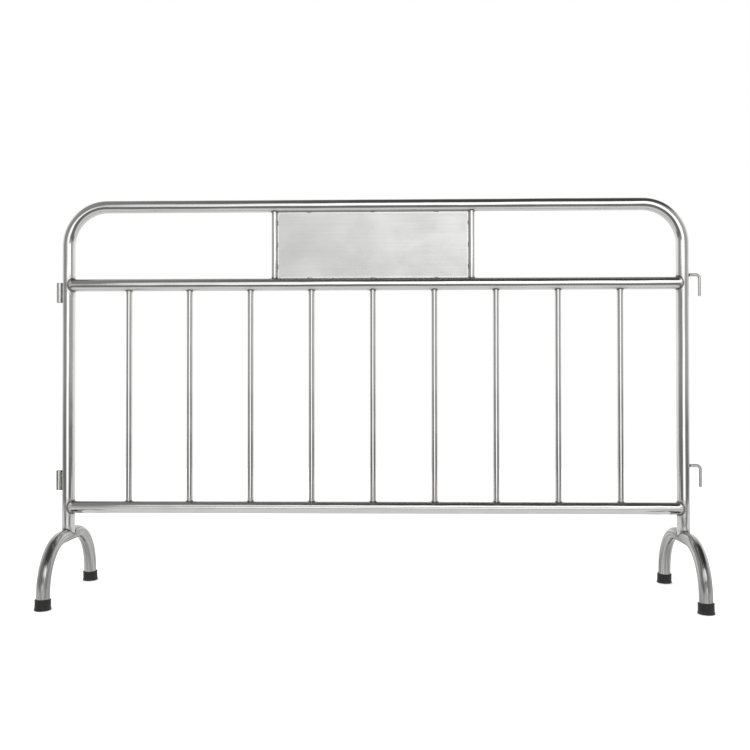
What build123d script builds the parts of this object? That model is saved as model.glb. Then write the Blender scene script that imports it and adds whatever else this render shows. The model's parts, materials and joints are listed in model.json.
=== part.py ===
from build123d import *
from math import cos, radians, sin, sqrt, tan
import os

# Welded crowd control barrier. Millimetres, +Z up, +X along the barrier, -Y towards its front.
# The origin is on the floor, at the middle of the overall length and of the feet.

# Overall sizes
FRAME_LENGTH = 1900.0      # over the outer faces of the two posts
FRAME_HEIGHT = 1200.0      # floor to the top of the hoop

# Main tube: hoop, rails and feet
TUBE_D = 38.0
TUBE_WALL = 1.2
CORNER_BEND_R = 120.0      # centre line of the hoop's two corners

# Rails
MID_RAIL_DROP = 239.0      # hoop's top centre line down to the mid rail's
BOTTOM_RAIL_Z = 265.0      # floor up to the bottom rail's centre line

# Upright bars between the rails
BAR_D = 19.0
BAR_WALL = 1.0
BAR_COUNT = 9              # they part the frame into equal bays

# Sign plate and the two bars that hold it
SIGN_BAR_SPACING = 598.0   # centre line to centre line
SIGN_SHEET = 1.5           # sheet thickness

# Foot arches
FOOT_SPREAD = 386.0        # sole centre to sole centre, front to back
FOOT_APEX_Z = 180.0        # centre line at the top of the arch
FOOT_BEND_R = 136.0        # centre line of each shoulder
FOOT_SPLAY = 3.4           # degrees each leg leans out from upright

# Rubber caps
CAP_HEIGHT = 30.0          # along the leg
CAP_WALL = 3.0             # rubber beside the tube
CAP_SOLE = 6.0             # rubber under the tube's end
CAP_FLARE = 1.2            # how much the sole stands out past the wall
CAP_LIP = 0.6              # how much the mouth's rounded lip stands out
CAP_LIP_HEIGHT = 4.0
CAP_FOOT_HEIGHT = 5.0      # upright band round the sole
CAP_GROOVE_R = 13.0        # middle of the ring groove in the sole
CAP_GROOVE_WIDTH = 5.0
CAP_GROOVE_DEPTH = 1.5

# Coupling hooks on the right post
ROD_D = 9.0
HOOK_REACH = 32.0          # post's face to the pin's axis
HOOK_DROP = 64.0           # arm's centre line down to the pin's tip
HOOK_BEND_R = 11.0         # centre line
HOOK_CHAMFER = 1.0         # round the pin's tip
UPPER_HOOK_RISE = 24.0     # arm above the mid rail's centre line
LOWER_HOOK_RISE = 128.0    # arm above the bottom rail's centre line

# Coupling sleeves on the left post
SLEEVE_D = 19.0
SLEEVE_WALL = 1.2
SLEEVE_LENGTH = 60.0
SLEEVE_DROP = 17.0         # a neighbour's arm centre line down to the sleeve's top

# Weld beads
TUBE_BEAD = 2.2            # height of the bead round the main tube joints
BAR_BEAD = 1.6             # leg length round the bar ends
ROD_BEAD = 2.4             # leg length round the hook roots
SLEEVE_BEAD_R = 2.6        # beside the sleeves
SLEEVE_BEAD_END = 4.0      # bead stops short of the sleeve's ends
SIGN_BEAD_GAP = 0.3        # a sign bar's bead stops this far from the plate's face
TACK_R = 2.4               # stitches that hold the sign plate
TACK_LENGTH = 12.0
TACK_COUNT = 3             # along each edge of the plate

# Worked out from the sizes above
TUBE_R = TUBE_D / 2
BAR_R = BAR_D / 2
ROD_R = ROD_D / 2
SLEEVE_R = SLEEVE_D / 2
POST_SPACING = FRAME_LENGTH - TUBE_D
FRAME_X = (SLEEVE_D - HOOK_REACH - ROD_R) / 2
LEFT_X = FRAME_X - POST_SPACING / 2
RIGHT_X = FRAME_X + POST_SPACING / 2
TOP_Z = FRAME_HEIGHT - TUBE_R
MID_Z = TOP_Z - MID_RAIL_DROP
UPPER_ARM_Z = MID_Z + UPPER_HOOK_RISE
LOWER_ARM_Z = BOTTOM_RAIL_Z + LOWER_HOOK_RISE
SIGN_X = [FRAME_X - SIGN_BAR_SPACING / 2, FRAME_X + SIGN_BAR_SPACING / 2]
BAR_X = [LEFT_X + POST_SPACING * i / (BAR_COUNT + 1) for i in range(1, BAR_COUNT + 1)]
LEG_RUN = FOOT_APEX_Z * tan(radians(FOOT_SPLAY))
FOOT_Y = FOOT_SPREAD / 2
CUT = 10.0                 # how far a cutting tool runs past what it cuts


def rod(radius, start, end):
    """Solid round rod from one point to another."""
    axis = Vector(*end) - Vector(*start)
    column = Cylinder(radius, axis.length, align=(Align.CENTER, Align.CENTER, Align.MIN))
    return Plane(origin=start, z_dir=axis) * column


def straight_tube(outer_r, wall, start, end):
    return rod(outer_r, start, end) - rod(outer_r - wall, start, end)


def bent_rod(radius, points, bend_r):
    """Solid round rod along straight runs joined by tangent bends."""
    path = FilletPolyline(*points, radius=bend_r)
    section = Plane(origin=path @ 0, z_dir=path % 0) * Circle(radius)
    return sweep(section, path=path)


def bent_tube(outer_r, wall, points, bend_r):
    return bent_rod(outer_r, points, bend_r) - bent_rod(outer_r - wall, points, bend_r)


def post_solid(x, grow=0.0):
    """The straight part of a post, as the solid that other pieces are coped to."""
    return rod(TUBE_R + grow, (x, 0, FOOT_APEX_Z), (x, 0, TOP_Z - CORNER_BEND_R))


def cross_solid(x, z, half_length, grow=0.0):
    """A length of rail about x, as the solid that bars are coped to."""
    return rod(TUBE_R + grow, (x - half_length, 0, z), (x + half_length, 0, z))


def foot_top_solid(x):
    """The level top of a foot arch, as the solid that its post is coped to."""
    return rod(TUBE_R, (x, -TUBE_D, FOOT_APEX_Z), (x, TUBE_D, FOOT_APEX_Z))


# Frame

def hoop_tube():
    points = [(LEFT_X, 0, FOOT_APEX_Z), (LEFT_X, 0, TOP_Z), (RIGHT_X, 0, TOP_Z), (RIGHT_X, 0, FOOT_APEX_Z)]
    tube = bent_tube(TUBE_R, TUBE_WALL, points, CORNER_BEND_R)
    return tube - foot_top_solid(LEFT_X) - foot_top_solid(RIGHT_X)


def rail(z):
    tube = straight_tube(TUBE_R, TUBE_WALL, (LEFT_X, 0, z), (RIGHT_X, 0, z))
    return tube - post_solid(LEFT_X) - post_solid(RIGHT_X)


def upright(x, low_z, high_z):
    """Bar coped to the tube below and the tube above."""
    tube = straight_tube(BAR_R, BAR_WALL, (x, 0, low_z), (x, 0, high_z))
    return tube - cross_solid(x, low_z, BAR_D) - cross_solid(x, high_z, BAR_D)


def sign_plate():
    width = SIGN_BAR_SPACING - BAR_D
    low = MID_Z + TUBE_R
    height = TOP_Z - TUBE_R - low
    return Pos(FRAME_X, 0, low + height / 2) * Box(width, SIGN_SHEET, height)


# Feet

def foot_arch(x):
    """Arch across the frame, its legs ending inside the caps."""
    end_y = FOOT_Y - CAP_SOLE * tan(radians(FOOT_SPLAY))
    shoulder_y = FOOT_Y - LEG_RUN
    points = [(x, -end_y, CAP_SOLE), (x, -shoulder_y, FOOT_APEX_Z),
              (x, shoulder_y, FOOT_APEX_Z), (x, end_y, CAP_SOLE)]
    return bent_tube(TUBE_R, TUBE_WALL, points, FOOT_BEND_R)


def foot_cap(x, side):
    """Ferrule along the leg, its sole cut level with the floor; side is -1 for front, 1 for rear."""
    mouth_r = TUBE_R + CAP_WALL
    sole_r = mouth_r + CAP_FLARE
    lean = radians(FOOT_SPLAY)
    bore_z = CAP_SOLE / cos(lean)
    lip_z = CAP_HEIGHT - CAP_LIP_HEIGHT
    with BuildSketch(Plane.XZ) as section:
        with BuildLine():
            Polyline((0, bore_z), (TUBE_R, bore_z), (TUBE_R, CAP_HEIGHT), (mouth_r, CAP_HEIGHT))
            ThreePointArc((mouth_r, CAP_HEIGHT), (mouth_r + CAP_LIP, (CAP_HEIGHT + lip_z) / 2), (mouth_r, lip_z))
            Polyline((mouth_r, lip_z), (mouth_r, CAP_FOOT_HEIGHT + CAP_FLARE), (sole_r, CAP_FOOT_HEIGHT),
                     (sole_r, -CUT), (0, -CUT), (0, bore_z))
        make_face()
    along_leg = Plane(origin=(x, side * FOOT_Y, 0), x_dir=(1, 0, 0), z_dir=(0, -side * sin(lean), cos(lean)))
    cap = along_leg * revolve(section.sketch, axis=Axis.Z)
    below_floor = Pos(x, side * FOOT_Y, -CUT) * Box(TUBE_D * 2, TUBE_D * 2, CUT * 2)
    with BuildSketch() as ring:
        Circle(CAP_GROOVE_R + CAP_GROOVE_WIDTH / 2)
        Circle(CAP_GROOVE_R - CAP_GROOVE_WIDTH / 2, mode=Mode.SUBTRACT)
    groove = Pos(x, side * FOOT_Y, 0) * extrude(ring.sketch, CAP_GROOVE_DEPTH)
    return cap - below_floor - groove


# Couplings

def coupling_hook(arm_z):
    pin_x = RIGHT_X + TUBE_R + HOOK_REACH
    points = [(RIGHT_X, 0, arm_z), (pin_x, 0, arm_z), (pin_x, 0, arm_z - HOOK_DROP)]
    blank = bent_rod(ROD_R, points, HOOK_BEND_R)
    tip = blank.edges().sort_by(Axis.Z)[0]
    return chamfer(tip, HOOK_CHAMFER) - post_solid(RIGHT_X)


def coupling_sleeve(arm_z):
    x = LEFT_X - TUBE_R - SLEEVE_R
    top_z = arm_z - SLEEVE_DROP
    return straight_tube(SLEEVE_R, SLEEVE_WALL, (x, 0, top_z - SLEEVE_LENGTH), (x, 0, top_z))


# Weld beads

def saddle_bead(x, z, branch, across):
    """Bead round the joint of a branch tube with an equal run tube, centre lines crossing at (x, 0, z).

    The joint line is two half ellipses, which spread from the run tube's two flanks out along
    the branch tube. across is square to both tubes. The bead fills a band to each side of the
    ellipses, between the tubes' faces and their faces grown by the bead.
    """
    crossing = Vector(x, 0, z)
    branch = Vector(*branch)
    across = Vector(*across)
    run = across.cross(branch)

    def branch_tube(grow):
        return rod(TUBE_R + grow, crossing, crossing + branch * (TUBE_D * 2))

    def run_tube(grow):
        return rod(TUBE_R + grow, crossing - run * TUBE_D, crossing + run * TUBE_D)

    band = Part()
    for flank in (-1, 1):
        long_axis = (branch + run * flank).normalized()
        start = crossing - long_axis * TUBE_BEAD
        plane = Plane(origin=start, x_dir=long_axis, z_dir=long_axis.cross(across))
        slab = Box(TUBE_D, TUBE_D * 2, TUBE_BEAD * 2, align=(Align.MIN, Align.CENTER, Align.CENTER))
        band += plane * slab
    bead = band & run_tube(TUBE_BEAD)
    bead = bead & (branch_tube(TUBE_BEAD) + run_tube(0))
    return bead - run_tube(0) - branch_tube(0)


def rail_beads(z):
    return [saddle_bead(x, z, (inward, 0, 0), (0, 1, 0)) for x, inward in ((LEFT_X, 1), (RIGHT_X, -1))]


def foot_beads():
    return [saddle_bead(x, FOOT_APEX_Z, (0, 0, 1), (1, 0, 0)) for x in (LEFT_X, RIGHT_X)]


def bar_bead(x, z, rise):
    """Collar where a bar meets a rail's centre line height z; rise is +1 for a bar above the rail."""
    grown = rod(BAR_R + BAR_BEAD, (x, 0, z), (x, 0, z + rise * TUBE_D))
    collar = grown & cross_solid(x, z, BAR_D, BAR_BEAD)
    return collar - rod(BAR_R, (x, 0, z), (x, 0, z + rise * TUBE_D)) - cross_solid(x, z, BAR_D)


def hook_bead(z):
    arm_end = (RIGHT_X + TUBE_D, 0, z)
    collar = rod(ROD_R + ROD_BEAD, (RIGHT_X, 0, z), arm_end) & post_solid(RIGHT_X, ROD_BEAD)
    return collar - rod(ROD_R, (RIGHT_X, 0, z), arm_end) - post_solid(RIGHT_X)


def sleeve_beads(arm_z):
    """Two upright beads in the notches between a sleeve and its post."""
    high_z = arm_z - SLEEVE_DROP - SLEEVE_BEAD_END
    low_z = arm_z - SLEEVE_DROP - SLEEVE_LENGTH + SLEEVE_BEAD_END
    clear = SLEEVE_BEAD_R / 2
    post_to_bead = TUBE_R + clear
    sleeve_to_bead = SLEEVE_R + clear
    apart = TUBE_R + SLEEVE_R
    out = (post_to_bead ** 2 - sleeve_to_bead ** 2 + apart ** 2) / (2 * apart)
    aside = sqrt(post_to_bead ** 2 - out ** 2)
    sleeve_x = LEFT_X - apart
    sleeve = rod(SLEEVE_R, (sleeve_x, 0, low_z - CUT), (sleeve_x, 0, high_z + CUT))
    beads = [rod(SLEEVE_BEAD_R, (LEFT_X - out, y, low_z), (LEFT_X - out, y, high_z)) for y in (-aside, aside)]
    return [bead - sleeve - post_solid(LEFT_X) for bead in beads]


def sign_bar_beads():
    """Collars at the sign bars' ends, each open where the plate's corner stands."""
    beads = []
    for x, inward in ((SIGN_X[0], 1), (SIGN_X[1], -1)):
        slot = Box(BAR_D, SIGN_SHEET + 2 * SIGN_BEAD_GAP, TOP_Z - MID_Z)
        slot = Pos(x + inward * BAR_R, 0, (TOP_Z + MID_Z) / 2) * slot
        beads += [bar_bead(x, MID_Z, 1) - slot, bar_bead(x, TOP_Z, -1) - slot]
    return beads


def sign_tacks():
    """Stitches along the plate's four edges, on both of its faces."""
    plate = sign_plate()
    low_z = MID_Z + TUBE_R
    high_z = TOP_Z - TUBE_R
    half = TACK_LENGTH / 2
    tacks = []
    for i in range(TACK_COUNT):
        share = (i + 0.5) / TACK_COUNT
        z = low_z + (high_z - low_z) * share
        for bar_x, inward in ((SIGN_X[0], 1), (SIGN_X[1], -1)):
            edge_x = bar_x + inward * BAR_R
            bar = rod(BAR_R, (bar_x, 0, low_z), (bar_x, 0, high_z))
            tacks.append(rod(TACK_R, (edge_x, 0, z - half), (edge_x, 0, z + half)) - bar - plate)
        x = SIGN_X[0] + SIGN_BAR_SPACING * share
        for rail_z, edge_z in ((MID_Z, low_z), (TOP_Z, high_z)):
            stitch = rod(TACK_R, (x - half, 0, edge_z), (x + half, 0, edge_z))
            tacks.append(stitch - cross_solid(x, rail_z, BAR_D) - plate)
    return tacks


# Named pieces
parts = {
    "hoop_tube": hoop_tube(),
    "mid_rail": rail(MID_Z),
    "bottom_rail": rail(BOTTOM_RAIL_Z),
    "sign_bar_left": upright(SIGN_X[0], MID_Z, TOP_Z),
    "sign_bar_right": upright(SIGN_X[1], MID_Z, TOP_Z),
    "sign_plate": sign_plate(),
    "foot_arch_left": foot_arch(LEFT_X),
    "foot_arch_right": foot_arch(RIGHT_X),
    "foot_cap_front_left": foot_cap(LEFT_X, -1),
    "foot_cap_rear_left": foot_cap(LEFT_X, 1),
    "foot_cap_front_right": foot_cap(RIGHT_X, -1),
    "foot_cap_rear_right": foot_cap(RIGHT_X, 1),
    "coupling_hook_upper": coupling_hook(UPPER_ARM_Z),
    "coupling_hook_lower": coupling_hook(LOWER_ARM_Z),
    "coupling_sleeve_upper": coupling_sleeve(UPPER_ARM_Z),
    "coupling_sleeve_lower": coupling_sleeve(LOWER_ARM_Z),
}
for number, bar_x in enumerate(BAR_X, start=1):
    parts[f"bar_{number}"] = upright(bar_x, BOTTOM_RAIL_Z, MID_Z)

bead_groups = {
    "weld_mid_rail": rail_beads(MID_Z),
    "weld_bottom_rail": rail_beads(BOTTOM_RAIL_Z),
    "weld_bars_top": [bar_bead(x, MID_Z, -1) for x in BAR_X],
    "weld_bars_bottom": [bar_bead(x, BOTTOM_RAIL_Z, 1) for x in BAR_X],
    "weld_sign_bars": sign_bar_beads(),
    "weld_sign_tacks": sign_tacks(),
    "weld_feet": foot_beads(),
    "weld_hooks": [hook_bead(z) for z in (UPPER_ARM_Z, LOWER_ARM_Z)],
    "weld_sleeves": sleeve_beads(UPPER_ARM_Z) + sleeve_beads(LOWER_ARM_Z),
}
for name, beads in bead_groups.items():
    parts[name] = Compound(children=[solid for bead in beads for solid in bead.solids()])

os.makedirs("parts", exist_ok=True)
for name, shape in parts.items():
    export_step(shape, f"parts/{name}.step")
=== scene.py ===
import json
import math
import random

import bmesh
import bpy
from mathutils import Euler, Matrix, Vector
from mathutils.kdtree import KDTree


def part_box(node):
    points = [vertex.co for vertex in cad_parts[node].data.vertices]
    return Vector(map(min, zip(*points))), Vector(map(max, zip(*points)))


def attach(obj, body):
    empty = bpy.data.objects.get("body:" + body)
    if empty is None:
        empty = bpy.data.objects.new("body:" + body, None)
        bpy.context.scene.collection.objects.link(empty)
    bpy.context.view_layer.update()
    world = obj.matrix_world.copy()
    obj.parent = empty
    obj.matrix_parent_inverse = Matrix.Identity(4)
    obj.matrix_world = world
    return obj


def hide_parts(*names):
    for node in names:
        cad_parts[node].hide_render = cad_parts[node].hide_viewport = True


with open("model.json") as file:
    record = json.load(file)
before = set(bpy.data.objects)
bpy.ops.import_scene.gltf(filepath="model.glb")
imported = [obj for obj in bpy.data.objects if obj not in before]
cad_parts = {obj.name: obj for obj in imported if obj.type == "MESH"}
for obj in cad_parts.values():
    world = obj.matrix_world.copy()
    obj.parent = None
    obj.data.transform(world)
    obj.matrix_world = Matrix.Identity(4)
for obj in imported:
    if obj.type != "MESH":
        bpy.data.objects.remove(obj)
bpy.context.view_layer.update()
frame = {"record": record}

# ---- sizes, in metres

CORNER_BEND_R = 0.120      # centre line of the hoop's corners
FOOT_BEND_R = 0.136        # centre line of a foot's shoulders
FOOT_SPLAY = math.radians(3.4)
TUBE_WALL = 0.0012
BAR_WALL = 0.0010
SLEEVE_WALL = 0.0012
SLEEVE_RIM = 0.0003        # rounding of a sleeve's cut edges
PLATE_EASE = 0.0003        # bevel of the sign plate's edges
PLATE_WAVE = 0.0006        # how far the plate swings out of flat
HOOK_BEND_R = 0.011
HOOK_CHAMFER = 0.0010

CAP_HEIGHT = 0.0300
CAP_WALL = 0.0030
CAP_SOLE = 0.0060
CAP_FLARE = 0.0012         # how much wider the sole is than the wall
CAP_LIP = 0.0006           # how far the rolled lip stands out
CAP_LIP_HEIGHT = 0.0040
CAP_FOOT_HEIGHT = 0.0050   # of the part that is level with the floor, not with the leg
CAP_ROUND = 0.0008         # rounding of the lip's top
CAP_SOLE_ROUND = 0.0010    # rounding of the sole's edge
CAP_BULGE = 0.0002         # how much wider the wall is below the lip
CAP_CLEARANCE = 0.0001     # between the foot's tube and the cap
CAP_HUB_R = 0.0020         # flat middle of the sole
CAP_GROOVE_R = 0.0130
CAP_GROOVE_WIDTH = 0.0050
CAP_GROOVE_DEPTH = 0.0015
CAP_GROOVE_EASE = 0.0003

TUBE_BEAD_R = 0.0014       # weld beads: toe to root
BAR_BEAD_R = 0.0014
ROD_BEAD_R = 0.0018
SLEEVE_BEAD_R = 0.0022
SLEEVE_BEAD_END = 0.0040   # it stops short of the sleeve's ends
TACK_BEAD_R = 0.0012
TACK_LENGTH = 0.0120
TACK_COUNT = 3             # along each edge of the sign plate
RIPPLE = 0.0017            # from one weld ripple to the next
BEAD_STEP = RIPPLE / 5     # from one ring of a bead to the next
RIPPLE_CHANGE = 0.16       # how unevenly the ripples follow each other
RIPPLE_HEIGHT = 0.13       # share of the bead's height,
RIPPLE_WIDENING = 0.04     # and of its width
RIPPLE_TRAIL = 0.42        # how far a ripple's flanks trail its middle, in ripples
RIPPLE_MEAN = 0.64         # mean height of a ripple's arched outline
BEAD_CHANGE = 0.07         # how much a bead swells and shrinks
BEAD_CHANGE_RUN = 0.011    # along how much of its length
BEAD_WEAVE = 0.10          # swing to either side, share of the radius
BEAD_LIFT = 0.26           # a bead's oval section: its middle's height over the root,
BEAD_RISE = 0.60           # the crown's height over that,
BEAD_SPREAD = 0.84         # and the half width, as shares of the radius
BEAD_BLUNTING = 1.3        # length of a rounded end, in radii
SLEEVE_BEAD_CLEAR = 0.35   # how far a sleeve bead's root is from both tubes, in radii
DROP_R = (0.0002, 0.0006)  # spatter, least and greatest
DROP_FLATTENING = 0.8
FOOT_DROPS_RISE = 0.030    # from the foot's weld to the middle of its spatter

TUBE_SIDES = 72
BAR_SIDES = 48
BEAD_SIDES = 14
JOINT_POINTS = 360         # round a joint's weld line
EQUAL_JOINT_POINTS = 1440  # and where both tubes are one size
SAME_SIZE = 0.0001
DROP_SIDES = 8
DROP_RINGS = 4
FILLET_STEPS = 5
BEND_STEP = math.radians(2.5)
SHARP_ANGLE = math.radians(42)
FINE_STEP = 0.0022         # from one ring of a tube to the next, near a weld
FINE_REACH = 0.026         # how far from the weld that holds
COARSE_STEP = 0.045        # far from any weld
STEP_GROWTH = 0.4
INNER_STRIDE = 4           # a tube's bore takes every fourth ring
FIT_ZONE = 0.030           # stretch of a tube that takes up the shape of its coped end
FLARE_ZONE = 0.018         # stretch over which an end widens to meet a tube of its own size
TONGUE_SHARE = 0.86        # of the way to the tube's middle that such an end reaches
FAR_FROM_WELD = 0.060      # largest value that the weld distance takes

X = Vector((1, 0, 0))
Y = Vector((0, 1, 0))
Z = Vector((0, 0, 1))
FULL_TURN = 2 * math.pi


def centre(node):
    low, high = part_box(node)
    return (low + high) / 2


def half(node, axis):
    low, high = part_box(node)
    return (high[axis] - low[axis]) / 2


HOOP_LOW, HOOP_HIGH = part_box("hoop_tube")
TUBE_R = half("hoop_tube", 1)
BAR_R = half("bar_1", 1)
ROD_R = half("coupling_hook_upper", 1)
SLEEVE_R = half("coupling_sleeve_upper", 1)
LEFT_X = HOOP_LOW.x + TUBE_R
RIGHT_X = HOOP_HIGH.x - TUBE_R
MIDDLE_X = (LEFT_X + RIGHT_X) / 2
TOP_Z = HOOP_HIGH.z - TUBE_R
APEX_Z = HOOP_LOW.z
MID_Z = centre("mid_rail").z
BOTTOM_Z = centre("bottom_rail").z
BAR_X = [centre(f"bar_{number}").x for number in range(1, 10)]
SIGN_X = {side: centre(f"sign_bar_{side}").x for side in ("left", "right")}
HOOK_Z = {name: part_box(f"coupling_hook_{name}")[1].z - ROD_R for name in ("upper", "lower")}
PIN_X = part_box("coupling_hook_upper")[1].x - ROD_R
CAP_R = TUBE_R + CAP_WALL
SOLE_R = CAP_R + CAP_FLARE
FOOT_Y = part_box("foot_cap_rear_left")[1].y - SOLE_R / math.cos(FOOT_SPLAY)
SLOT_OF = {entry["node"]: entry["material_slot"] for entry in frame["record"]["subparts"]}


# ---- meshes

def make_object(node, vertices, faces, flow):
    """Smooth mesh for a CAD node. flow is each point's place on the unbent piece, z along it."""
    name = f"{node}_finished"
    mesh = bpy.data.meshes.new(name)
    mesh.from_pydata([tuple(vertex) for vertex in vertices], [], faces)
    attribute = mesh.attributes.new("flow", "FLOAT_VECTOR", "POINT")
    attribute.data.foreach_set("vector", [value for place in flow for value in place])
    work = bmesh.new()
    work.from_mesh(mesh)
    bmesh.ops.recalc_face_normals(work, faces=work.faces)
    work.to_mesh(mesh)
    work.free()
    mesh.polygons.foreach_set("use_smooth", [True] * len(mesh.polygons))
    mesh.set_sharp_from_angle(angle=SHARP_ANGLE)
    piece = bpy.data.objects.new(name, mesh)
    bpy.context.scene.collection.objects.link(piece)
    return piece


def ring_faces(first, second, sides):
    """Quads between two rings, given each ring's first point."""
    faces = []
    for k in range(sides):
        following = (k + 1) % sides
        faces.append((first + k, first + following, second + following, second + k))
    return faces


def skin_faces(first, rings, sides, closed=False):
    """Quads along a row of rings; closed joins the last ring to the first."""
    faces = []
    for i in range(rings if closed else rings - 1):
        following = (i + 1) % rings
        faces += ring_faces(first + i * sides, first + following * sides, sides)
    return faces


def graded(length, places):
    """Stations along a length, close together near the places where something is welded on."""
    stations = [0.0]
    while stations[-1] < length:
        at = stations[-1]
        near = min((abs(at - place) for place in places), default=length)
        starts = [place - FINE_REACH for place in places]
        ahead = min((start - at for start in starts if start > at), default=length)
        step = FINE_STEP
        if near >= FINE_REACH:
            step = min(COARSE_STEP, FINE_STEP + (near - FINE_REACH) * STEP_GROWTH)
        stations.append(at + min(step, max(ahead, FINE_STEP)))
    stations[-1] = length
    sliver = 0.3 * FINE_STEP
    if len(stations) > 2 and length - stations[-2] < sliver:
        del stations[-2]
    return stations


def route(corners, bend_r, places):
    """Stations (point, heading, distance) along straight runs joined by tangent bends."""
    bends = []
    for before, corner, after in zip(corners, corners[1:], corners[2:]):
        turn = (corner - before).angle(after - corner)
        bends.append((bend_r * math.tan(turn / 2), turn))
    stations = []
    walked = 0.0
    for i, (corner, following) in enumerate(zip(corners, corners[1:])):
        heading = (following - corner).normalized()
        start = corner + heading * (bends[i - 1][0] if i > 0 else 0.0)
        end = following - heading * (bends[i][0] if i < len(bends) else 0.0)
        length = (end - start).length
        for run in graded(length, [place - walked for place in places]):
            stations.append((start + heading * run, heading, walked + run))
        walked += length
        if i < len(bends):
            turn = bends[i][1]
            onward = (corners[i + 2] - following).normalized()
            inward = (onward - heading * onward.dot(heading)).normalized()
            hub = end + inward * bend_r
            steps = max(4, round(turn / BEND_STEP))
            for j in range(1, steps):
                turned = turn * j / steps
                cosine = math.cos(turned)
                sine = math.sin(turned)
                point = hub - inward * (bend_r * cosine) + heading * (bend_r * sine)
                stations.append((point, heading * cosine + inward * sine, walked + bend_r * turned))
            walked += bend_r * turn
    return stations


def tube(node, corners, radius, wall, sides, bend_r=0.0, side=Y, places=(), fits=(None, None), tip=None):
    """Tube, or solid rod where wall is None, along a flat route. side is square to the route's plane.

    fits holds each end's fit to what it is welded to: from a point's offsets along side and
    inward, its offsets at the very end and how far it stands back from the route's end there.
    tip, on a rod, is the chamfer at its far end.
    """
    stations = route(corners, bend_r, places)
    total = stations[-1][2]
    vertices = []
    flow = []

    def ring(station, r):
        point, heading, distance = station
        inward = side.cross(heading)
        for k in range(sides):
            turn = FULL_TURN * k / sides
            aside = r * math.cos(turn)
            inside = r * math.sin(turn)
            slide = 0.0
            for fit, from_end, sign in ((fits[0], distance, 1), (fits[1], total - distance, -1)):
                if fit and from_end < FIT_ZONE:
                    end_aside, end_inside, back = fit(aside, inside, r)
                    flare = max(0.0, 1 - from_end / FLARE_ZONE) ** 2
                    aside += (end_aside - aside) * flare
                    inside += (end_inside - inside) * flare
                    slide += sign * back * (1 - from_end / FIT_ZONE)
            vertices.append(point + side * aside + inward * inside + heading * slide)
            flow.append((aside, inside, distance + slide))

    rings = list(stations)
    if tip:
        point, heading, distance = rings.pop()
        rings.append((point - heading * tip, heading, distance - tip))
    for station in rings:
        ring(station, radius)
    count = len(rings)
    faces = skin_faces(0, count, sides)
    if wall is None:
        if tip:
            ring(stations[-1], radius - tip)
            faces += ring_faces((count - 1) * sides, count * sides, sides)
            count += 1
        faces.append(tuple(range(sides)))
        faces.append(tuple(range((count - 1) * sides, count * sides)))
        return make_object(node, vertices, faces, flow)
    inner = rings[::INNER_STRIDE]
    if (count - 1) % INNER_STRIDE:
        inner.append(rings[-1])
    first_inner = len(vertices)
    for station in inner:
        ring(station, radius - wall)
    last_inner = first_inner + (len(inner) - 1) * sides
    faces += skin_faces(first_inner, len(inner), sides)
    faces += ring_faces(0, first_inner, sides)
    faces += ring_faces((count - 1) * sides, last_inner, sides)
    return make_object(node, vertices, faces, flow)


def fillet(centre_r, centre_z, radius, start, end):
    """Points (r, z) of an arc in a lathe's profile, between two angles in degrees."""
    points = []
    for j in range(FILLET_STEPS + 1):
        angle = math.radians(start + (end - start) * j / FILLET_STEPS)
        points.append((centre_r + radius * math.cos(angle), centre_z + radius * math.sin(angle)))
    return points


def lathe(profile, origin, axis, across, sides, closed):
    """Vertices, faces and flow of a profile of (r, z) points turned about an axis."""
    third = axis.cross(across)
    vertices = []
    flow = []
    for r, z in profile:
        for k in range(sides):
            turn = FULL_TURN * k / sides
            out = across * math.cos(turn) + third * math.sin(turn)
            vertices.append(origin + axis * z + out * r)
            flow.append((r * math.cos(turn), r * math.sin(turn), z))
    faces = skin_faces(0, len(profile), sides, closed)
    if not closed:
        faces.append(tuple(range(sides)))
        faces.append(tuple(range((len(profile) - 1) * sides, len(profile) * sides)))
    return vertices, faces, flow


# ---- frame, bars and plate

def on_tube(aside, inside, r):
    """Fit of a thin upright or rod that is coped to a main tube, whatever its own radius r."""
    return aside, inside, math.sqrt(max(TUBE_R ** 2 - aside ** 2, 0.0))


def swaged(across, r):
    """Offset and stand-back of an end that widens to meet a tube of its own size in a round tongue."""
    back = r - TONGUE_SHARE * abs(across)
    return math.copysign(math.sqrt(max(r ** 2 - back ** 2, 0.0)), across), back


def on_post_side(aside, inside, r):
    """Fit of a rail's end to its post."""
    flared, back = swaged(aside, r)
    return flared, inside, back


def on_foot(aside, inside, r):
    """Fit of a post's end to the level top of its foot."""
    flared, back = swaged(inside, r)
    return aside, flared, back


def hoop():
    post_run = TOP_Z - CORNER_BEND_R - APEX_Z
    bend_run = CORNER_BEND_R * math.pi / 2
    top_start = post_run + bend_run - (LEFT_X + CORNER_BEND_R)
    total = 2 * (post_run + bend_run) + RIGHT_X - LEFT_X - 2 * CORNER_BEND_R
    places = [z - APEX_Z for z in (APEX_Z, BOTTOM_Z, MID_Z)]
    for name in ("upper", "lower"):
        low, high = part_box(f"coupling_sleeve_{name}")
        places += [low.z - APEX_Z, high.z - APEX_Z]
    places += [top_start + x for x in SIGN_X.values()]
    places += [total - (z - APEX_Z) for z in (APEX_Z, BOTTOM_Z, MID_Z, *HOOK_Z.values())]
    corners = [Vector((x, 0, z)) for x, z in
               ((LEFT_X, APEX_Z), (LEFT_X, TOP_Z), (RIGHT_X, TOP_Z), (RIGHT_X, APEX_Z))]
    return tube("hoop_tube", corners, TUBE_R, TUBE_WALL, TUBE_SIDES, CORNER_BEND_R,
                places=places, fits=(on_foot, on_foot))


def rail(node, z, bar_places):
    places = [0.0, RIGHT_X - LEFT_X] + [x - LEFT_X for x in bar_places]
    corners = [Vector((LEFT_X, 0, z)), Vector((RIGHT_X, 0, z))]
    return tube(node, corners, TUBE_R, TUBE_WALL, TUBE_SIDES,
                places=places, fits=(on_post_side, on_post_side))


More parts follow.
